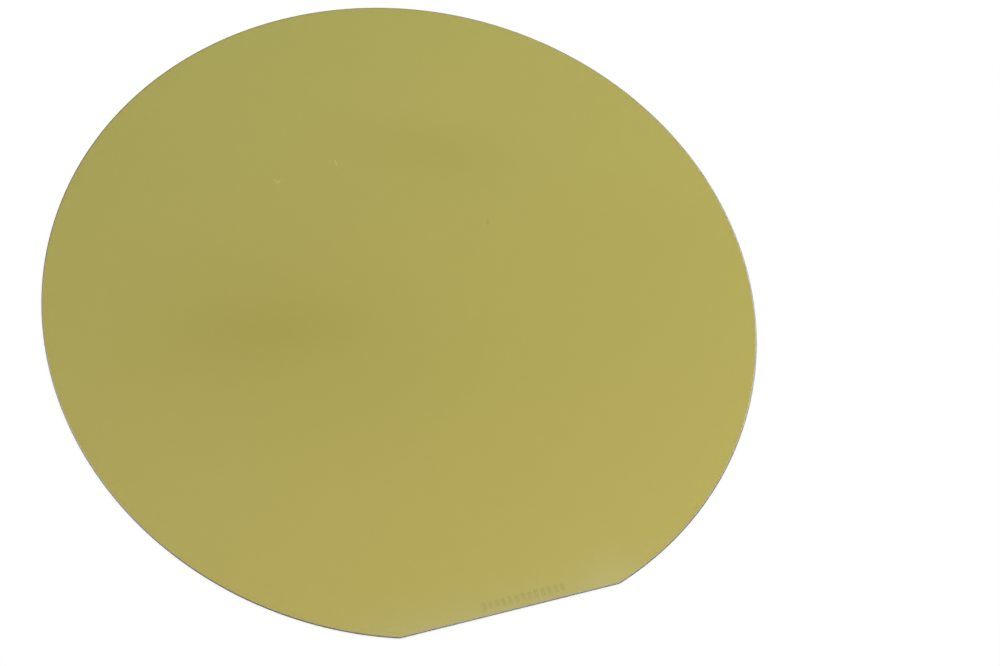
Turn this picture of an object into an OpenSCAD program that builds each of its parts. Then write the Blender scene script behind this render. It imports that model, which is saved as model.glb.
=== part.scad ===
// Silicon carbide wafer with one primary flat and a ground edge.
//
// One slice of a single crystal, so one solid. It lies on its back face, and the front face is up.
// The origin is the centre of the wafer's circle on the back face, and the primary flat faces -Y.
//
// The edge has one section: a bevel down from each face, a small radius, and an upright land
// between them. That section runs round the rim's arc, round the two corners and along the flat,
// and where two stretches meet their surfaces are tangent, as a grinding wheel leaves them.

/* [Slice] */
// Diameter of the wafer's circle
wafer_d = 150; // [100:1:200]
// Thickness, from the back face to the front face
wafer_t = 0.35; // [0.3:0.01:0.8]

/* [Primary flat] */
// Length of the flat, as a chord of the wafer's circle
flat_l = 47.5; // [20:0.5:80]
// Radius in plan of each corner between the rim's arc and the flat
corner_r = 2; // [1:0.1:6]

/* [Ground edge] */
// How far the front bevel reaches in from the rim
front_bevel_w = 0.25; // [0.15:0.01:0.27]
// How far the back bevel reaches in from the rim
back_bevel_w = 0.25; // [0.15:0.01:0.27]
// Angle between each bevel and the face that it leaves
bevel_angle = 22; // [18:1:24]
// Radius in section between each bevel and the upright land
nose_r = 0.04; // [0.02:0.005:0.04]

/* [Hidden] */
$fn = 180;

// Plan: the flat's distance from the centre, and the corners' centres
wafer_r = wafer_d / 2;
flat_distance = sqrt(pow(wafer_r, 2) - pow(flat_l / 2, 2));
corner_centre_r = wafer_r - corner_r;
// How far each corner turns, from the direction of the flat to where the rim's arc begins
corner_turn = acos((flat_distance - corner_r) / corner_centre_r);
// A length that reaches past every side of the wafer
reach = 2 * wafer_d;

// Edge section: the heights at which the bevels would meet the rim if nothing were rounded,
// and the length that a nose radius takes off each side of those corners
front_knee_z = wafer_t - front_bevel_w * tan(bevel_angle);
back_knee_z = back_bevel_w * tan(bevel_angle);
nose_tangent_l = nose_r * tan((90 - bevel_angle) / 2);
bevel_run = nose_tangent_l * cos(bevel_angle);
bevel_rise = nose_tangent_l * sin(bevel_angle);
land_bottom_z = back_knee_z + nose_tangent_l;
land_top_z = front_knee_z - nose_tangent_l;

// Section of the edge. Its outermost line is at x = 0, and it runs back far past the wafer.
module edge_section() {
    polygon([
        [-reach, 0],
        [-back_bevel_w, 0],
        [-bevel_run, back_knee_z - bevel_rise],
        [0, land_bottom_z],
        [0, land_top_z],
        [-bevel_run, front_knee_z + bevel_rise],
        [-front_bevel_w, wafer_t],
        [-reach, wafer_t],
    ]);
    for (z = [land_bottom_z, land_top_z])
        translate([-nose_r, z]) circle(nose_r);
}

// Full disc of radius r with the edge section all the way round
module disc(r) {
    rotate_extrude() intersection() {
        translate([r, 0]) edge_section();
        translate([0, -reach]) square(2 * reach);
    }
}

// Everything on the +X side of the YZ plane
module right_side() {
    translate([0, -reach, -reach]) cube(2 * reach);
}

// Everything on the -X side of the YZ plane
module left_side() {
    mirror([1, 0, 0]) right_side();
}

// Slab that ends at the edge section along the flat, from one corner's centre line towards -X
module flat_stretch() {
    rotate([90, 0, -90]) linear_extrude(reach)
        translate([corner_r, 0]) edge_section();
}

// Corner arc, from its centre line on the flat's side round to +X
module corner_stretch() {
    intersection() {
        disc(corner_r);
        right_side();
    }
}

// Rim's arc, on the +X side of the line from the wafer's centre through the corner's centre
module rim_stretch() {
    intersection() {
        disc(wafer_r);
        right_side();
    }
}

// Right half, built square to the line through the corner's centre and then turned to its place
module right_half() {
    intersection() {
        rotate(corner_turn) {
            rim_stretch();
            translate([0, -corner_centre_r, 0]) intersection() {
                rotate(-corner_turn) {
                    corner_stretch();
                    flat_stretch();
                }
                left_side();
            }
        }
        right_side();
    }
}

module wafer() {
    color([0.68, 0.65, 0.35]) {
        right_half();
        mirror([1, 0, 0]) right_half();
    }
}

wafer();
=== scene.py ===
"""Looks of a silicon carbide wafer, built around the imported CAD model.

The wafer is one slice of a single crystal: two polished faces, and a ground edge whose
section runs round the rim, round the corners and along the primary flat. Every size is in
metres, in the CAD model's own frame: the origin is the centre of the wafer's circle on the
back face, the front face is up, and the flat faces -Y.
"""

import logging
import math
from dataclasses import dataclass
from enum import Enum
from typing import Any, Optional, Union

import bmesh
import bpy
from mathutils import Matrix, Vector


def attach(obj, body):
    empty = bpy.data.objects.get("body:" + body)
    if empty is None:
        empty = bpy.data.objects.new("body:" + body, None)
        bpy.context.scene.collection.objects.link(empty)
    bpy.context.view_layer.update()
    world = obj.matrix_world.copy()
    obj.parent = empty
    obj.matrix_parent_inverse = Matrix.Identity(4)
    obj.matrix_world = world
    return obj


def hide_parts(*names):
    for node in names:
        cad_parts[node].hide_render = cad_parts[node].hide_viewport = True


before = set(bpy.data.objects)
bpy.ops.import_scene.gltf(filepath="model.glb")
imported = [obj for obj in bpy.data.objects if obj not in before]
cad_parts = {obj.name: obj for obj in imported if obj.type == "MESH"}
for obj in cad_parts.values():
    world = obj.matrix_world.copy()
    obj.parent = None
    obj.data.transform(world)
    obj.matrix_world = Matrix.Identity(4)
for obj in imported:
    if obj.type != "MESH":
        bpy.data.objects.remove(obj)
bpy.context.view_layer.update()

LOG = logging.getLogger("silicon_carbide_wafer")
MM = 0.001
BODY = "root"
CAD_NODE = "wafer"
GROUND = "is_ground"

Colour = tuple[float, float, float]
Number = Union[int, float]
WHITE: Colour = (1.0, 1.0, 1.0)


def new_object(name: str, data: bpy.types.ID) -> bpy.types.Object:
    """Makes an object at the origin and puts it in the scene.

    Args:
        name: The object's name.
        data: Its mesh, lamp or camera.

    Returns:
        The object.
    """
    made = bpy.data.objects.new(name, data)
    bpy.context.scene.collection.objects.link(made)
    return made


# --------------------------------------------------------------------------------------
# Node trees
# --------------------------------------------------------------------------------------


class Field:
    """A value that flows through a node tree, on which sums are written as ordinary code."""

    def __init__(self, board: "NodeBoard", socket: bpy.types.NodeSocket) -> None:
        """Keeps the output socket that gives the value, and the board it lies on."""
        self.board = board
        self.socket = socket

    def __add__(self, other: "Operand") -> "Field":
        """Sum."""
        return self.board.math("ADD", self, other)

    def __sub__(self, other: "Operand") -> "Field":
        """Difference."""
        return self.board.math("SUBTRACT", self, other)

    def __rsub__(self, other: "Operand") -> "Field":
        """Difference, with the plain number first."""
        return self.board.math("SUBTRACT", other, self)

    def __mul__(self, other: "Operand") -> "Field":
        """Product."""
        return self.board.math("MULTIPLY", self, other)

    def __truediv__(self, other: "Operand") -> "Field":
        """Quotient."""
        return self.board.math("DIVIDE", self, other)

    def __neg__(self) -> "Field":
        """The value with its sign turned."""
        return self.board.math("MULTIPLY", self, -1.0)

    __radd__ = __add__
    __rmul__ = __mul__


Operand = Union[Field, int, float]

# Sockets of the Mix node when it mixes colours
MIX_SHARE, MIX_FIRST, MIX_SECOND, MIX_RESULT = 0, 6, 7, 2


class NodeBoard:
    """A node tree with short ways to place nodes, link them and do sums."""

    def __init__(self, tree: bpy.types.NodeTree) -> None:
        """Wraps a tree that already exists."""
        self.tree = tree

    def node(self, kind: str, **settings: Any) -> bpy.types.Node:
        """Places one node.

        Args:
            kind: Blender's identifier of the node type.
            **settings: The node's own options, such as its mode or domain.

        Returns:
            The new node.
        """
        made = self.tree.nodes.new(kind)
        for name, value in settings.items():
            setattr(made, name, value)
        return made

    def feed(self, target: bpy.types.NodeSocket, value: Any) -> None:
        """Links a field or an output to an input socket, or sets a plain value on it.

        Args:
            target: The input socket.
            value: The field, the output or the plain value.
        """
        if isinstance(value, Field):
            self.tree.links.new(value.socket, target)
        elif isinstance(value, bpy.types.NodeSocket):
            self.tree.links.new(value, target)
        else:
            target.default_value = value

    def place(
        self, kind: str, inputs: Optional[dict[Any, Any]] = None, **settings: Any
    ) -> bpy.types.Node:
        """Places one node and feeds its inputs.

        Args:
            kind: Blender's identifier of the node type.
            inputs: What goes into each input, by the input's name or number.
            **settings: The node's own options.

        Returns:
            The new node.
        """
        made = self.node(kind, **settings)
        for key, value in (inputs or {}).items():
            self.feed(made.inputs[key], value)
        return made

    def field(self, node: bpy.types.Node, output: Any = 0) -> Field:
        """One output of a node, as a field."""
        return Field(self, node.outputs[output])

    def math(self, operation: str, *values: Operand) -> Field:
        """One step of arithmetic.

        Args:
            operation: Blender's name for the step, such as "ADD" or "COSINE".
            *values: The numbers or fields it works on.

        Returns:
            The result.
        """
        step = self.node("ShaderNodeMath", operation=operation)
        for position, value in enumerate(values):
            self.feed(step.inputs[position], value)
        return self.field(step)

    def vector(self, x: Operand, y: Operand, z: Operand) -> Field:
        """Three numbers put together as a vector."""
        return self.field(self.place("ShaderNodeCombineXYZ", {0: x, 1: y, 2: z}))

    def parts(self, vector: Field) -> tuple[Field, Field, Field]:
        """A vector taken apart into its three numbers."""
        node = self.place("ShaderNodeSeparateXYZ", {0: vector})
        return self.field(node, 0), self.field(node, 1), self.field(node, 2)

    def coordinates(self, kind: str = "Object") -> Field:
        """Where a point of the surface lies, or for the surround, in which direction."""
        return self.field(self.node("ShaderNodeTexCoord"), kind)

    def mixed(self, share: Operand, first: Any, second: Any, **settings: Any) -> Field:
        """Two colours mixed.

        Args:
            share: How much of the second colour there is.
            first: The first colour, plain or a field.
            second: The second colour, plain or a field.
            **settings: The Mix node's own options.

        Returns:
            The mixed colour.
        """
        ends = [(*end, 1.0) if isinstance(end, tuple) else end for end in (first, second)]
        made = self.place(
            "ShaderNodeMix",
            {MIX_SHARE: share, MIX_FIRST: ends[0], MIX_SECOND: ends[1]},
            data_type="RGBA",
            **settings,
        )
        return self.field(made, MIX_RESULT)

    def ramped(
        self,
        value: Field,
        low: float,
        high: float,
        at_low: float,
        at_high: float,
        **settings: Any,
    ) -> Field:
        """A value carried over from one range to another, and held at the ends.

        Args:
            value: The value.
            low: Where the ramp starts.
            high: Where it ends.
            at_low: What it gives up to the start.
            at_high: What it gives from the end on.
            **settings: The Map Range node's own options.

        Returns:
            The new value.
        """
        inputs = dict(enumerate((value, low, high, at_low, at_high)))
        return self.field(self.place("ShaderNodeMapRange", inputs, **settings))

    def noise(self, place: Field, scale: float, detail: float, **inputs: float) -> Field:
        """Soft noise around 0.5.

        Args:
            place: Where it is read.
            scale: How fine it is.
            detail: How many finer layers it has.
            **inputs: The Noise Texture node's other inputs.

        Returns:
            The noise.
        """
        basic = {"Vector": place, "Scale": scale, "Detail": detail}
        return self.field(self.place("ShaderNodeTexNoise", {**basic, **inputs}))

    def vector_math(self, operation: str, *values: Any, output: Any = 0) -> Field:
        """One step of vector arithmetic.

        Args:
            operation: Blender's name for the step, such as "LENGTH".
            *values: The vectors it works on.
            output: The node's output that holds the result.

        Returns:
            The result.
        """
        step = self.node("ShaderNodeVectorMath", operation=operation)
        for position, value in enumerate(values):
            self.feed(step.inputs[position], value)
        return self.field(step, output)


class SizeKind(Enum):
    """The kinds of number that a shape's tree takes in: the socket's type and its unit."""

    LENGTH = ("NodeSocketFloat", "DISTANCE")
    ANGLE = ("NodeSocketFloat", "ANGLE")
    COUNT = ("NodeSocketInt", "NONE")


class ShapeTree(NodeBoard):
    """A Geometry Nodes tree with named sizes, which is run once and becomes a plain mesh."""

    def __init__(self, name: str) -> None:
        """Makes an empty tree with its two ends.

        Args:
            name: The tree's name.
        """
        super().__init__(bpy.data.node_groups.new(name, "GeometryNodeTree"))
        self.tree.is_modifier = True
        self.entry = self.node("NodeGroupInput")
        self.exit = self.node("NodeGroupOutput")
        self.values: dict[str, Number] = {}
        self.tree.interface.new_socket(
            name="Mesh", in_out="OUTPUT", socket_type="NodeSocketGeometry"
        )

    def size(self, name: str, value: Number, kind: SizeKind = SizeKind.LENGTH) -> Field:
        """Adds a named size to the tree.

        Args:
            name: What the size is called on the modifier.
            value: Its value, in metres or radians, or a count.
            kind: Whether it is a length, an angle or a count.

        Returns:
            The size as a field.
        """
        socket_type, unit = kind.value
        socket = self.tree.interface.new_socket(
            name=name, in_out="INPUT", socket_type=socket_type
        )
        socket.subtype = unit
        self.values[socket.identifier] = value
        return Field(self, self.entry.outputs[name])

    def index(self) -> Field:
        """The number of each point, from 0."""
        return self.field(self.node("GeometryNodeInputIndex"))

    def choose(self, test: Field, no: Operand, yes: Operand) -> Field:
        """One of two numbers at each point.

        Args:
            test: What is asked.
            no: The number where it isn't so.
            yes: The number where it is.

        Returns:
            The chosen number.
        """
        return self.field(
            self.place(
                "GeometryNodeSwitch",
                {"Switch": test, "False": no, "True": yes},
                input_type="FLOAT",
            )
        )

    def circle(self, points: Field, radius: Field) -> Field:
        """A closed curve round the origin, with a given number of points."""
        return self.field(
            self.place(
                "GeometryNodeCurvePrimitiveCircle", {"Resolution": points, "Radius": radius}
            )
        )

    def less(self, value: Operand, limit: Operand) -> Field:
        """Whether a number is below a limit.

        Args:
            value: The number.
            limit: The limit.

        Returns:
            The answer at each point.
        """
        return self.field(
            self.place(
                "FunctionNodeCompare",
                {0: value, 1: limit},
                data_type="FLOAT",
                operation="LESS_THAN",
            )
        )

    def capture(self, geometry: Any, **fields: Field) -> tuple[Field, dict[str, Field]]:
        """Keeps fields with the points they were worked out on.

        Args:
            geometry: The points or curve.
            **fields: The fields by name, each a plain number at every point.

        Returns:
            The geometry, and the kept fields by name.
        """
        keeper = self.node("GeometryNodeCaptureAttribute", domain="POINT")
        for name in fields:
            keeper.capture_items.new("FLOAT", name)
        self.feed(keeper.inputs[0], geometry)
        for name, value in fields.items():
            self.feed(keeper.inputs[name], value)
        kept = {name: self.field(keeper, name) for name in fields}
        return self.field(keeper, 0), kept

    def moved(self, geometry: Any, position: Field) -> Field:
        """The geometry with every point put at a given place."""
        return self.field(
            self.place("GeometryNodeSetPosition", {"Geometry": geometry, "Position": position})
        )

    def joined(self, *parts: Field) -> Field:
        """Several geometries as one.

        Args:
            *parts: The geometries.

        Returns:
            All of them together.
        """
        join = self.node("GeometryNodeJoinGeometry")
        for part in parts:
            self.feed(join.inputs[0], part)
        return self.field(join)

    def finished(self, geometry: Field, material: bpy.types.Material) -> None:
        """Ends the tree: instances become real, and the shape gets its material.

        Args:
            geometry: The shape.
            material: The material of all its faces.
        """
        real = self.place("GeometryNodeRealizeInstances", {0: geometry})
        dressed = self.place(
            "GeometryNodeSetMaterial", {"Geometry": real.outputs[0], "Material": material}
        )
        self.feed(self.exit.inputs[0], dressed.outputs[0])

    def run(self, name: str) -> bpy.types.Object:
        """Runs the tree and keeps the result as a plain mesh.

        Args:
            name: The finished object's name.

        Returns:
            An object at the origin, with no modifier.
        """
        maker = new_object(name + "_maker", bpy.data.meshes.new(name + "_blank"))
        modifier = maker.modifiers.new("shape", "NODES")
        modifier.node_group = self.tree
        for identifier, value in self.values.items():
            modifier[identifier] = value
        graph = bpy.context.evaluated_depsgraph_get()
        mesh = bpy.data.meshes.new_from_object(maker.evaluated_get(graph), depsgraph=graph)
        mesh.name = name
        bpy.data.objects.remove(maker)
        return new_object(name, mesh)


# --------------------------------------------------------------------------------------
# Finishes
# --------------------------------------------------------------------------------------


def grey(level: float) -> tuple[float, float, float, float]:
    """An even grey, opaque."""
    return (level, level, level, 1.0)


def new_material(name: str) -> tuple[bpy.types.Material, NodeBoard, bpy.types.Node]:
    """Makes a material that holds one Principled shader.

    Args:
        name: The material's name.

    Returns:
        The material, its node board and the shader node.
    """
    material = bpy.data.materials.new(name)
    material.use_nodes = True
    board = NodeBoard(material.node_tree)
    return material, board, material.node_tree.nodes["Principled BSDF"]


@dataclass(frozen=True)
class Absorption:
    """What the crystal takes out of the light that crosses it.

    Nitrogen in the lattice gives the yellow-green: it takes little red and green, and
    nearly all blue.
    """

    colour: Colour = (0.8211, 0.7700, 0.1551)
    density: float = 7000.0

    def fill(self, board: NodeBoard, material: bpy.types.Material) -> None:
        """Adds the absorption to a material's volume.

        Args:
            board: The material's board.
            material: The material.
        """
        volume = board.place(
            "ShaderNodeVolumeAbsorption",
            {"Color": (*self.colour, 1.0), "Density": self.density},
        )
        output = material.node_tree.nodes["Material Output"]
        board.feed(output.inputs["Volume"], volume.outputs[0])


@dataclass(frozen=True)
class DopingZone:
    """A soft region of the crystal that took up more nitrogen as it grew.

    centre is where its middle lies, and length and width are how far from there the tint
    falls to about a third, all in metres. turn is in degrees, and strength is the share of
    the deepest tint at the middle.
    """

    centre: tuple[float, float]
    length: float
    width: float
    turn: float
    strength: float


@dataclass(frozen=True)
class CraterGrid:
    """Where the shallow laser craters lie: plain dot-matrix cells in a row by the flat.

    Every dot of every cell is filled, so the cells carry no characters. pitch and radius are
    those of the dots, and softness is the share of its radius over which a dot fades.
    """

    cells: int = 13
    cell_pitch: float = 1.42 * MM
    columns: int = 5
    rows: int = 9
    pitch: float = 0.203 * MM
    radius: float = 0.075 * MM
    softness: float = 0.3
    middle: tuple[float, float] = (3.6 * MM, -68.8 * MM)

    def stain(self, board: NodeBoard, place: Field, highest: float) -> Field:
        """The craters over the back face.

        Args:
            board: The material's board.
            place: Object coordinates.
            highest: Height above which there are no craters.

        Returns:
            1 in each crater, fading to 0 at its rim, and 0 everywhere else.
        """
        east, north, up = board.parts(place)
        along = (east - self.middle[0]) / self.cell_pitch + self.cells / 2.0
        in_cell = (board.math("FRACT", along) - 0.5) * (self.cell_pitch / self.pitch)
        across = (north - self.middle[1]) / self.pitch
        limits = (
            (board.math("ABSOLUTE", along - self.cells / 2.0), self.cells / 2.0),
            (board.math("ABSOLUTE", in_cell), self.columns / 2.0),
            (board.math("ABSOLUTE", across), self.rows / 2.0),
            (up, highest),
        )
        inside = board.math("LESS_THAN", *limits[0])
        for value, limit in limits[1:]:
            inside = inside * board.math("LESS_THAN", value, limit)
        off_east = board.math("FRACT", in_cell + self.columns / 2.0) - 0.5
        off_north = board.math("FRACT", across + self.rows / 2.0) - 0.5
        distance = board.math("SQRT", off_east * off_east + off_north * off_north)
        radius = self.radius / self.pitch
        inner = radius * (1.0 - self.softness)
        dot = board.ramped(distance, inner, radius, 1.0, 0.0, interpolation_type="SMOOTHSTEP")
        return dot * inside


@dataclass(frozen=True)
class PolishedFace:
    """Tint of the mirror-polished faces, with the zones of the crystal's growth.

    Laser craters on the back face darken it a little, dot by dot. There are none above
    crater_height. The drift is a faint, broad unevenness over the whole crystal.
    """

    craters: CraterGrid
    crater_height: float
    scorched: Colour = (0.62, 0.62, 0.58)
    clear: Colour = WHITE
    deepest: Colour = (0.785, 0.765, 0.42)
    zones: tuple[DopingZone, ...] = (
        DopingZone((30.0 * MM, -20.0 * MM), 71.0 * MM, 39.5 * MM, 23.7, 0.203),
        DopingZone((-27.6 * MM, 3.0 * MM), 19.5 * MM, 6.3 * MM, -9.7, 0.16),
        DopingZone((-27.9 * MM, 2.6 * MM), 32.0 * MM, 26.0 * MM, -5.0, 0.305),
        DopingZone((16.9 * MM, 36.9 * MM), 19.4 * MM, 7.0 * MM, -27.4, 0.199),
        DopingZone((11.2 * MM, 25.4 * MM), 75.0 * MM, 11.4 * MM, -24.2, 0.063),
    )
    drift_scale: float = 14.0
    drift_detail: float = 2.0
    drift_roughness: float = 0.4
    drift_share: float = 0.03

    def zone_field(self, board: NodeBoard, place: Field, zone: DopingZone) -> Field:
        """The strength of one zone over the face.

        Args:
            board: The material's board.
            place: Object coordinates.
            zone: The zone.

        Returns:
            A bell-shaped hill, at its full strength in the zone's middle.
        """
        centred = board.place(
            "ShaderNodeMapping",
            {
                "Vector": place,
                "Location": (*zone.centre, 0.0),
                "Rotation": (0.0, 0.0, math.radians(zone.turn)),
                "Scale": (zone.length, zone.width, 1.0),
            },
            vector_type="TEXTURE",
        )
        distance = board.vector_math("LENGTH", centred.outputs[0], output="Value")
        return board.math("EXPONENT", -(distance * distance)) * zone.strength

    def tint(self, board: NodeBoard, place: Field) -> Field:
        """The tint over the faces.

        Args:
            board: The material's board.
            place: Object coordinates.

        Returns:
            The colour.
        """
        drift = board.noise(
            place, self.drift_scale, self.drift_detail, Roughness=self.drift_roughness
        )
        amount = drift * self.drift_share
        for zone in self.zones:
            amount = amount + self.zone_field(board, place, zone)
        grown = board.mixed(amount, self.clear, self.deepest)
        stain = self.craters.stain(board, place, self.crater_height)
        marked = board.mixed(stain, self.clear, self.scorched)
        return board.mixed(1.0, grown, marked, blend_type="MULTIPLY")


@dataclass(frozen=True)
class GroundEdge:
    """Wear of the ground bevel: matt, with fine lines that follow the edge.

    The lines lie at one distance from the outline and one height, whether the edge there
    is the rim or the flat, because the grinding wheel travels along it. line_pitch is
    across the lines, and line_length is along them.
    """

    rim_radius: float
    flat_distance: float
    roughness_low: float = 0.34
    roughness_high: float = 0.46
    line_pitch: float = 0.012 * MM
    line_length: float = 3.0 * MM
    line_detail: float = 2.0
    grain_size: float = 0.03 * MM
    grain_detail: float = 3.0
    grain_share: float = 0.4
    line_height: float = 0.0008 * MM
    line_strength: float = 0.6
    pale: Colour = WHITE
    dull: Colour = (0.93, 0.92, 0.90)

    def wear(self, board: NodeBoard, place: Field) -> Field:
        """Grinding lines with a little grain over them.

        Args:
            board: The material's board.
            place: Object coordinates.

        Returns:
            A value from 0 to 1.
        """
        east, north, up = board.parts(place)
        from_centre = board.math("SQRT", east * east + north * north)
        depth = board.math("MINIMUM", self.rim_radius - from_centre, north + self.flat_distance)
        along = board.math("ARCTAN2", north, east) * (self.rim_radius / self.line_length)
        across = board.vector(depth / self.line_pitch, up / self.line_pitch, along)
        lines = board.noise(across, 1.0, self.line_detail)
        grain = board.noise(place, 1.0 / self.grain_size, self.grain_detail)
        return lines * (1.0 - self.grain_share) + grain * self.grain_share

    def roughness(self, wear: Field) -> Field:
        """How matt the edge is for its wear."""
        return wear * (self.roughness_high - self.roughness_low) + self.roughness_low


@dataclass(frozen=True)
class DopedCrystal:
    """The crystal: clear yellow-green in depth, polished on its faces, matt on its edge.

    It is one material, so that the light's way through it is the same to the last face. A
    value stored on the mesh's faces tells the ground edge from the polished faces.
    """

    faces: PolishedFace
    edge: GroundEdge
    absorption: Absorption = Absorption()
    ior: float = 2.65

    def material(self) -> bpy.types.Material:
        """Makes the material.

        Returns:
            The material.
        """
        material, board, shader = new_material("doped_crystal")
        shader.inputs["Transmission Weight"].default_value = 1.0
        shader.inputs["IOR"].default_value = self.ior
        place = board.coordinates()
        is_ground = board.field(board.node("ShaderNodeAttribute", attribute_name=GROUND), "Fac")
        wear = self.edge.wear(board, place)
        worn = board.mixed(wear, self.edge.dull, self.edge.pale)
        tint = board.mixed(is_ground, self.faces.tint(board, place), worn)
        board.feed(shader.inputs["Base Color"], tint)
        board.feed(shader.inputs["Roughness"], self.edge.roughness(wear) * is_ground)
        bump = board.place(
            "ShaderNodeBump",
            {
                "Height": wear,
                "Distance": self.edge.line_height,
                "Strength": is_ground * self.edge.line_strength,
            },
        )
        board.feed(shader.inputs["Normal"], bump.outputs[0])
        self.absorption.fill(board, material)
        return material


@dataclass(frozen=True)
class MattFinish:
    """Opaque matt finish for things far too small to show a grain of their own."""

    name: str
    dark: Colour
    light: Colour
    roughness: float = 0.8
    mottle_scale: float = 20000.0
    mottle_detail: float = 2.0

    def material(self) -> bpy.types.Material:
        """Makes the material.

        Returns:
            The material.
        """
        material, board, shader = new_material(self.name)
        shader.inputs["Roughness"].default_value = self.roughness
        place = board.coordinates()
        mottle = board.noise(place, self.mottle_scale, self.mottle_detail)
        tint = board.mixed(mottle, self.dark, self.light)
        board.feed(shader.inputs["Base Color"], tint)
        return material


class SmallFinish(Enum):
    """The finishes of the small pieces."""

    PALE_FLAKE = MattFinish("pale_flake", (0.440, 0.394, 0.104), (0.466, 0.420, 0.111))
    DARK_INCLUSION = MattFinish("dark_inclusion", (0.390, 0.346, 0.070), (0.404, 0.360, 0.074))


# --------------------------------------------------------------------------------------
# The wafer
# --------------------------------------------------------------------------------------


@dataclass
class WaferSlice:
    """The slice itself: two polished faces and the ground edge between them."""

    radius: float = 75.0 * MM
    thickness: float = 0.35 * MM
    flat_length: float = 47.5 * MM
    corner_radius: float = 2.0 * MM
    bevel_width: float = 0.25 * MM
    bevel_angle: float = math.radians(22.0)
    nose_radius: float = 0.04 * MM
    outline_points: int = 720
    nose_points: int = 7
    weld: float = 0.001 * MM

    def flat_distance(self) -> float:
        """How far the flat is from the wafer's centre."""
        return math.sqrt(self.radius**2 - (self.flat_length / 2.0) ** 2)

    def outline(
        self, tree: ShapeTree, radius: Field, flat_length: Field, corner: Field, count: Field
    ) -> tuple[Field, dict[str, Field]]:
        """The wafer's outline, found from the direction that the edge faces at each point.

        Facing away from the flat, a point is on the rim's arc. Within the turn of a corner,
        it is on that corner's arc. The flat is the straight line between the two corners.

        Args:
            tree: The slice's tree.
            radius: Radius of the wafer's circle.
            flat_length: Length of the flat, as a chord of that circle.
            corner: Radius of the corners in plan.
            count: How many points the outline has.

        Returns:
            A closed curve, and for each point its arc's centre, radius and direction.
        """
        half = flat_length / 2.0
        flat_distance = tree.math("SQRT", radius * radius - half * half)
        reach = radius - corner
        corner_turn = tree.math("ARCCOSINE", (flat_distance - corner) / reach)
        facing = (tree.index() + 0.5) * (2.0 * math.pi) / count - math.pi
        in_corner = tree.less(tree.math("ABSOLUTE", facing), corner_turn)
        side = tree.math("SIGN", facing)
        centre_x = tree.choose(in_corner, 0.0, side * reach * tree.math("SINE", corner_turn))
        centre_y = tree.choose(in_corner, 0.0, -(reach * tree.math("COSINE", corner_turn)))
        arc_radius = tree.choose(in_corner, radius, corner)
        return tree.capture(
            tree.circle(count, radius),
            centre_x=centre_x,
            centre_y=centre_y,
            arc_radius=arc_radius,
            east=tree.math("SINE", facing),
            north=-tree.math("COSINE", facing),
        )

    def section(
        self,
        tree: ShapeTree,
        thickness: Field,
        width: Field,
        angle: Field,
        nose: Field,
        count: Field,
    ) -> tuple[Field, dict[str, Field]]:
        """The edge's section, from the front face round the nose to the back face.

        Args:
            tree: The slice's tree.
            thickness: Thickness of the slice.
            width: How far each bevel reaches in from the outermost line.
            angle: Angle between a bevel and its face.
            nose: Radius between a bevel and the upright land.
            count: How many points each nose radius has.

        Returns:
            An open curve, and for each point how far out it lies and how high.
        """
        knee = width * tree.math("TANGENT", angle)
        tangent = nose * tree.math("TANGENT", (math.pi / 2.0 - angle) / 2.0)
        land_bottom = knee + tangent
        land_top = thickness - knee - tangent
        step = tree.index() - 1.0
        on_front = tree.less(step, count)
        along = tree.choose(on_front, step - count, step) / (count - 1.0)
        sweep = math.pi / 2.0 - angle
        tilt = tree.choose(on_front, math.pi / 2.0 + along * sweep, angle + along * sweep)
        height = tree.choose(on_front, land_bottom, land_top) + nose * tree.math("COSINE", tilt)
        inset = nose * tree.math("SINE", tilt) - nose
        is_first = tree.less(step, -0.5)
        is_last = tree.less(count * 2.0 - 0.5, step)
        inset = tree.choose(is_first, tree.choose(is_last, inset, -width), -width)
        height = tree.choose(is_first, tree.choose(is_last, height, 0.0), thickness)
        line = tree.node("GeometryNodeCurvePrimitiveLine")
        points = tree.place(
            "GeometryNodeResampleCurve", {"Curve": line.outputs[0], "Count": count * 2.0 + 2.0}
        )
        return tree.capture(tree.field(points), inset=inset, height=height)

    @staticmethod
    def spot(tree: ShapeTree, arc: dict[str, Field], inset: Operand, height: Operand) -> Field:
        """The place on an arc of the outline at an inset and a height.

        Args:
            tree: The slice's tree.
            arc: The outline's arcs.
            inset: How far out from the outline it is, below 0 towards the inside.
            height: How high it is.

        Returns:
            The place at each point.
        """
        distance = arc["arc_radius"] + inset
        return tree.vector(
            arc["centre_x"] + distance * arc["east"],
            arc["centre_y"] + distance * arc["north"],
            height,
        )

    def face(
        self, tree: ShapeTree, path: Field, arc: dict[str, Field], width: Field, height: Operand
    ) -> Field:
        """One flat face, filled out to where its bevel starts.

        Args:
            tree: The slice's tree.
            path: The outline.
            arc: The outline's arcs.
            width: How far the bevel reaches in.
            height: The face's height.

        Returns:
            The face, which looks up.
        """
        loop = tree.moved(path, self.spot(tree, arc, -width, 0.0))
        filled = tree.place("GeometryNodeFillCurve", {"Curve": loop}, mode="NGONS")
        lift = tree.vector(0.0, 0.0, height)
        return tree.field(
            tree.place("GeometryNodeSetPosition", {"Geometry": filled.outputs[0], "Offset": lift})
        )

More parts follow.
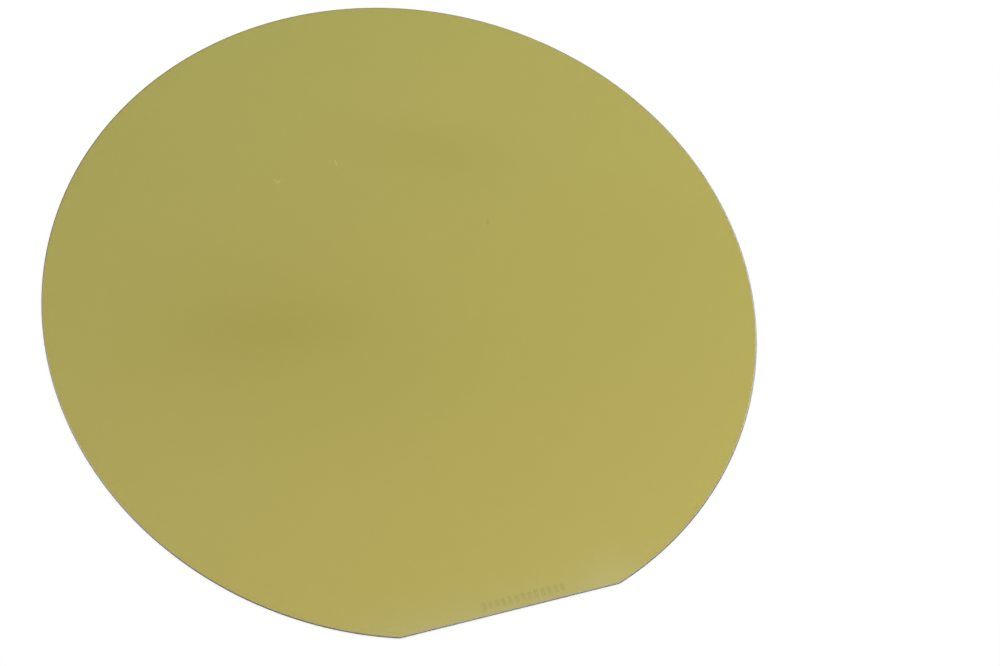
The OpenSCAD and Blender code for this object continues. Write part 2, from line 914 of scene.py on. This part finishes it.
    def build(self, crystal: bpy.types.Material) -> bpy.types.Object:
        """Builds the slice.

        Args:
            crystal: Its finish.

        Returns:
            The slice as one closed mesh, with the ground edge marked on its faces.
        """
        tree = ShapeTree("wafer_slice_shape")
        radius = tree.size("Radius", self.radius)
        flat_length = tree.size("Flat length", self.flat_length)
        corner = tree.size("Corner radius", self.corner_radius)
        thickness = tree.size("Thickness", self.thickness)
        width = tree.size("Bevel width", self.bevel_width)
        angle = tree.size("Bevel angle", self.bevel_angle, SizeKind.ANGLE)
        nose = tree.size("Nose radius", self.nose_radius)
        outline_points = tree.size("Outline points", self.outline_points, SizeKind.COUNT)
        nose_points = tree.size("Nose points", self.nose_points, SizeKind.COUNT)

        path, arc = self.outline(tree, radius, flat_length, corner, outline_points)
        profile, section = self.section(tree, thickness, width, angle, nose, nose_points)
        band = tree.place("GeometryNodeCurveToMesh", {"Curve": path, "Profile Curve": profile})
        edge = tree.moved(
            band.outputs[0], self.spot(tree, arc, section["inset"], section["height"])
        )
        edge = tree.field(
            tree.place(
                "GeometryNodeStoreNamedAttribute",
                {"Geometry": edge, "Name": GROUND, "Value": 1.0},
                data_type="FLOAT",
                domain="FACE",
            )
        )
        front = self.face(tree, path, arc, width, thickness)
        back = tree.field(
            tree.place("GeometryNodeFlipFaces", {0: self.face(tree, path, arc, width, 0.0)})
        )
        whole = tree.place(
            "GeometryNodeMergeByDistance",
            {"Geometry": tree.joined(edge, front, back), "Distance": self.weld},
        )
        is_ground = tree.place(
            "GeometryNodeInputNamedAttribute", {"Name": GROUND}, data_type="FLOAT"
        )
        flat_shaded = tree.place(
            "GeometryNodeSetShadeSmooth",
            {"Geometry": whole.outputs[0], "Shade Smooth": False},
            domain="FACE",
        )
        smooth = tree.place(
            "GeometryNodeSetShadeSmooth",
            {
                "Geometry": flat_shaded.outputs[0],
                "Selection": tree.less(0.5, tree.field(is_ground)),
                "Shade Smooth": True,
            },
            domain="FACE",
        )
        tree.finished(tree.field(smooth), crystal)
        return tree.run("wafer_slice")


@dataclass
class CraterRims:
    """The thin rims of the laser craters, just within the back face.

    clearance is how far inside that face they start.
    """

    grid: CraterGrid
    rim_radius: float = 0.001 * MM
    clearance: float = 0.002 * MM
    crater_sides: int = 14
    rim_sides: int = 4

    def build(self, finish: bpy.types.Material) -> bpy.types.Object:
        """Builds the rims.

        Args:
            finish: Finish of the rims.

        Returns:
            All the rims as one mesh.
        """
        grid = self.grid
        tree = ShapeTree("crater_rims_shape")
        count = SizeKind.COUNT
        cells = tree.size("Cells", grid.cells, count)
        columns = tree.size("Columns", grid.columns, count)
        rows = tree.size("Rows", grid.rows, count)
        cell_pitch = tree.size("Cell pitch", grid.cell_pitch)
        crater_pitch = tree.size("Crater pitch", grid.pitch)
        crater_radius = tree.size("Crater radius", grid.radius)
        rim_radius = tree.size("Rim radius", self.rim_radius)
        clearance = tree.size("Clearance", self.clearance)
        middle_x = tree.size("Middle X", grid.middle[0])
        middle_y = tree.size("Middle Y", grid.middle[1])
        crater_sides = tree.size("Crater sides", self.crater_sides, count)
        rim_sides = tree.size("Rim sides", self.rim_sides, count)

        each = tree.index()
        per_cell = columns * rows
        cell = tree.math("FLOOR", (each + 0.5) / per_cell)
        within = each - cell * per_cell
        row = tree.math("FLOOR", (within + 0.5) / columns)
        column = within - row * columns
        east = (cell - (cells - 1.0) / 2.0) * cell_pitch
        east = east + (column - (columns - 1.0) / 2.0) * crater_pitch
        north = (row - (rows - 1.0) / 2.0) * crater_pitch
        place = tree.vector(middle_x + east, middle_y + north, clearance + rim_radius)
        points = tree.place(
            "GeometryNodePoints", {"Count": cells * per_cell, "Position": place}
        )
        rim = tree.place(
            "GeometryNodeCurveToMesh",
            {
                "Curve": tree.circle(crater_sides, crater_radius),
                "Profile Curve": tree.circle(rim_sides, rim_radius),
            },
        )
        craters = tree.place(
            "GeometryNodeInstanceOnPoints",
            {"Points": points.outputs[0], "Instance": rim.outputs[0]},
        )
        tree.finished(tree.field(craters), finish)
        return tree.run("crater_rims")


@dataclass(frozen=True)
class Speck:
    """One flake or inclusion on the front face: a thin lens, bent in plan.

    Lengths are in metres, and the heading is in degrees. The bend is how far the middle lies
    off the line between the tips.
    """

    name: str
    kind: SmallFinish
    centre: tuple[float, float]
    length: float
    width: float
    heading: float
    bend: float
    height: float = 0.353 * MM
    depth: float = 0.008 * MM
    rings: int = 12
    sides: int = 8

    def point(self, along: float, across: float, up: float) -> Vector:
        """A point of the lens, bent and turned to its place.

        Args:
            along: Where it is between the tips, from -1 to 1.
            across: How far it is to the side, as a share of half the width.
            up: How high it is, as a share of half the depth.

        Returns:
            The point.
        """
        middle = Vector((*self.centre, self.height))
        turn = Matrix.Rotation(math.radians(self.heading), 3, "Z")
        sag = self.bend * (1.0 - along * along)
        flat = Vector((along * self.length / 2.0, across * self.width / 2.0 + sag, 0.0))
        return middle + turn @ flat + Vector((0.0, 0.0, up * self.depth / 2.0))

    def build(self, finish: bpy.types.Material) -> bpy.types.Object:
        """Builds the speck.

        Args:
            finish: The material of its kind.

        Returns:
            The speck as one closed mesh.
        """
        rings, sides = self.rings, self.sides
        shape = bmesh.new()
        tips = [shape.verts.new(self.point(end, 0.0, 0.0)) for end in (-1.0, 1.0)]
        loops = []
        for ring in range(1, rings):
            along = -math.cos(math.pi * ring / rings)
            swell = math.sin(math.pi * ring / rings)
            turns = [2.0 * math.pi * side / sides for side in range(sides)]
            spots = [(along, swell * math.cos(turn), swell * math.sin(turn)) for turn in turns]
            loops.append([shape.verts.new(self.point(*spot)) for spot in spots])
        for first, second in zip(loops, loops[1:]):
            for side in range(sides):
                after = (side + 1) % sides
                shape.faces.new((first[side], first[after], second[after], second[side]))
        for side in range(sides):
            after = (side + 1) % sides
            shape.faces.new((tips[0], loops[0][after], loops[0][side]))
            shape.faces.new((tips[1], loops[-1][side], loops[-1][after]))
        bmesh.ops.recalc_face_normals(shape, faces=shape.faces)
        mesh = bpy.data.meshes.new(self.name)
        shape.to_mesh(mesh)
        shape.free()
        mesh.materials.append(finish)
        return new_object(self.name, mesh)


# --------------------------------------------------------------------------------------
# Studio
# --------------------------------------------------------------------------------------


@dataclass(frozen=True)
class Lamp:
    """One soft square lamp that faces the wafer.

    place is where it hangs, size is the length of its side, and power is in watts.
    """

    name: str
    place: tuple[float, float, float]
    size: float
    power: float

    def build(self) -> None:
        """Builds the lamp."""
        light = bpy.data.lights.new(self.name, "AREA")
        light.shape = "SQUARE"
        light.size = self.size
        light.energy = self.power
        lamp = new_object(self.name, light)
        lamp.location = self.place
        lamp.rotation_euler = Vector(self.place).to_track_quat("Z", "Y").to_euler()


@dataclass
class Studio:
    """Pale floor, soft light and a white sweep that darkens overhead.

    The floor keeps shade_share of its own shading up to shade_near from the middle, and none
    from shade_far on, where it is plain white. Seen through the wafer it glows instead, as a
    light table does: by glow_middle under the wafer's centre, and by glow_east and glow_north
    more for each metre, in red, green and blue. It glows more again in a strip along the flat
    and in a patch at one end of it: painted light, which makes the wafer paler there.

    The sweep is what gloss and glass see of the surround: how bright it is for each height of
    a direction, from level to straight up.
    """

    floor_drop: float = 0.05 * MM
    floor_half: float = 9.0
    floor_albedo: float = 0.85
    shade_share: float = 0.3
    shade_near: float = 0.25
    shade_far: float = 0.6
    glow_plain: float = 1.08
    glow_middle: float = 0.955
    glow_east: Colour = (1.06, 1.13, 1.10)
    glow_north: Colour = (-1.35, -0.72, -1.00)
    # Painted light: a brighter strip of the floor's glow along the flat, and a brighter patch of
    # it at one end, which the wafer shows as paler there.
    glow_strip_line: float = -71.14 * MM
    glow_strip_depth: float = 3.1 * MM
    glow_strip: Colour = (0.0, 0.065, 0.64)
    glow_patch_middle: tuple[float, float, float] = (22.0 * MM, -69.0 * MM, 0.0)
    glow_patch_radius: float = 6.0 * MM
    glow_patch: Colour = (0.025, 0.045, 0.2)
    world_light: float = 0.55
    sweep: tuple[tuple[float, float], ...] = (
        (0.0, 1.0),
        (0.05, 0.74),
        (0.12, 0.52),
        (0.26, 0.38),
        (0.42, 0.27),
        (0.62, 0.19),
        (1.0, 0.17),
    )
    lamps: tuple[Lamp, ...] = (
        Lamp("key_lamp", (0.95, 0.45, 1.0), 0.5, 6.0),
        Lamp("fill_lamp", (-0.75, 0.55, 1.3), 0.9, 6.0),
        Lamp("edge_lamp", (0.39, -0.45, 1.38), 0.3, 1.7),
    )

    def ray_kinds(self, board: NodeBoard) -> tuple[Field, Field, Field]:
        """Tests of what kind of ray asks.

        Args:
            board: The material's or the world's board.

        Returns:
            Whether it is the camera's, a mirrored one, and one that has crossed something.
        """
        path = board.node("ShaderNodeLightPath")
        return (
            board.field(path, "Is Camera Ray"),
            board.field(path, "Is Glossy Ray"),
            board.field(path, "Is Transmission Ray"),
        )

    def floor_material(self) -> bpy.types.Material:
        """White floor that keeps a soft shadow near the object.

        Returns:
            The floor's material.
        """
        material = bpy.data.materials.new("floor_white")
        material.use_nodes = True
        material.node_tree.nodes.clear()
        board = NodeBoard(material.node_tree)
        camera, glossy, through = self.ray_kinds(board)
        place = board.coordinates()
        away = board.vector_math("LENGTH", place, output="Value")
        fade = board.ramped(away, self.shade_near, self.shade_far, 1.0 - self.shade_share, 1.0)
        _, north, _ = board.parts(place)
        # Painted light: the floor glows brighter in a strip along the flat and in a patch at one
        # end of it.
        from_line = board.math("ABSOLUTE", north - self.glow_strip_line)
        glow_strip = board.math("EXPONENT", -(from_line / self.glow_strip_depth))
        from_glow_patch = board.vector_math("DISTANCE", place, self.glow_patch_middle, output="Value")
        from_glow_patch = from_glow_patch / self.glow_patch_radius
        glow_patch = board.math("EXPONENT", -(from_glow_patch * from_glow_patch))
        spread = [
            board.vector_math("DOT_PRODUCT", place, (east_rise, north_rise, 0.0), output="Value")
            + self.glow_middle
            + glow_strip * glow_strip_part
            + glow_patch * glow_patch_part
            for east_rise, north_rise, glow_strip_part, glow_patch_part in zip(
                self.glow_east, self.glow_north, self.glow_strip, self.glow_patch
            )
        ]
        glow = board.place("ShaderNodeCombineColor", dict(enumerate(spread)))
        colour = board.mixed(through, (self.glow_plain,) * 3, glow.outputs[0])
        lit = board.place("ShaderNodeBsdfDiffuse", {"Color": grey(self.floor_albedo)})
        glowing = board.place("ShaderNodeEmission", {"Color": colour})
        seen = board.math("MAXIMUM", glossy, through)
        share = board.math("MAXIMUM", seen, camera * fade)
        mixed = board.place(
            "ShaderNodeMixShader", {0: share, 1: lit.outputs[0], 2: glowing.outputs[0]}
        )
        output = board.node("ShaderNodeOutputMaterial")
        board.feed(output.inputs["Surface"], mixed.outputs[0])
        return material

    def build_floor(self) -> None:
        """Builds the floor just under the wafer."""
        half = self.floor_half
        corners = [(-half, -half), (half, -half), (half, half), (-half, half)]
        mesh = bpy.data.meshes.new("floor")
        mesh.from_pydata([(x, y, -self.floor_drop) for x, y in corners], [], [(0, 1, 2, 3)])
        mesh.materials.append(self.floor_material())
        floor = new_object("floor", mesh)

    def build_world(self) -> None:
        """Builds the soft surround: even light, and the sweep that gloss and glass show."""
        world = bpy.data.worlds.new("studio")
        bpy.context.scene.world = world
        world.use_nodes = True
        board = NodeBoard(world.node_tree)
        camera, glossy, through = self.ray_kinds(board)
        _, _, up = board.parts(board.coordinates("Generated"))
        ramp = board.place("ShaderNodeValToRGB", {0: up})
        stops = ramp.color_ramp
        for position, _ in self.sweep[1:-1]:
            stops.elements.new(position)
        for element, (position, level) in zip(stops.elements, self.sweep):
            element.position = position
            element.color = grey(level)
        mirrored = board.math("MAXIMUM", glossy, through)
        surround = board.field(ramp) * mirrored + self.world_light * (1.0 - mirrored)
        strength = camera + surround * (1.0 - camera)
        background = world.node_tree.nodes["Background"]
        background.inputs["Color"].default_value = grey(1.0)
        board.feed(background.inputs["Strength"], strength)

    def build(self) -> None:
        """Builds the floor, the surround and the lamps."""
        self.build_floor()
        self.build_world()
        for lamp in self.lamps:
            lamp.build()


@dataclass(frozen=True)
class Camera:
    """The camera, by its place and the directions of its right, its up and its view."""

    lens: float = 200.0
    sensor: float = 36.0
    place: tuple[float, float, float] = (-285.094 * MM, -497.506 * MM, 1006.647 * MM)
    right: tuple[float, float, float] = (0.939378, -0.317486, 0.129505)
    up: tuple[float, float, float] = (0.221179, 0.849678, 0.478672)
    view: tuple[float, float, float] = (0.26201, 0.42101, -0.86839)
    clip_start: float = 0.01
    clip_end: float = 30.0

    def build(self) -> None:
        """Builds the camera and makes it the scene's."""
        data = bpy.data.cameras.new("camera")
        data.lens = self.lens
        data.sensor_width = self.sensor
        data.clip_start = self.clip_start
        data.clip_end = self.clip_end
        camera = new_object("camera", data)
        axes = Matrix((self.right, self.up, [-part for part in self.view])).transposed()
        camera.matrix_world = Matrix.Translation(self.place) @ axes.to_4x4()
        bpy.context.scene.camera = camera


# --------------------------------------------------------------------------------------
# Assembly
# --------------------------------------------------------------------------------------

SPECKS = (
    Speck(
        "speck_arc",
        SmallFinish.PALE_FLAKE,
        centre=(-15.5 * MM, 37.1 * MM),
        length=1.6 * MM,
        width=0.6 * MM,
        heading=-32.0,
        bend=-0.35 * MM,
    ),
    Speck(
        "speck_line",
        SmallFinish.PALE_FLAKE,
        centre=(-2.25 * MM, 37.8 * MM),
        length=1.7 * MM,
        width=0.4 * MM,
        heading=-91.0,
        bend=0.05 * MM,
    ),
    Speck(
        "speck_dark",
        SmallFinish.DARK_INCLUSION,
        centre=(24.42 * MM, 16.26 * MM),
        length=1.5 * MM,
        width=0.6 * MM,
        heading=60.0,
        bend=0.02 * MM,
    ),
)


def add_piece(piece: bpy.types.Object) -> None:
    """Ties a finished piece to the CAD body, and logs it.

    Args:
        piece: The finished object.
    """
    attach(piece, BODY)
    LOG.info("%s: %d faces", piece.name, len(piece.data.polygons))


def main() -> None:
    """Builds the wafer, then the studio and the camera."""
    logging.basicConfig(level=logging.INFO, format="%(name)s: %(message)s")
    bpy.context.scene.view_settings.view_transform = "Standard"

    wafer = WaferSlice()
    grid = CraterGrid()
    faces = PolishedFace(grid, wafer.thickness / 2.0)
    edge = GroundEdge(wafer.radius, wafer.flat_distance())
    piece = wafer.build(DopedCrystal(faces, edge).material())
    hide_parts(CAD_NODE)
    add_piece(piece)

    finishes = {kind: kind.value.material() for kind in SmallFinish}
    add_piece(CraterRims(grid).build(finishes[SmallFinish.PALE_FLAKE]))
    for speck in SPECKS:
        add_piece(speck.build(finishes[speck.kind]))

    Studio().build()
    Camera().build()


if __name__ == "__main__":
    main()
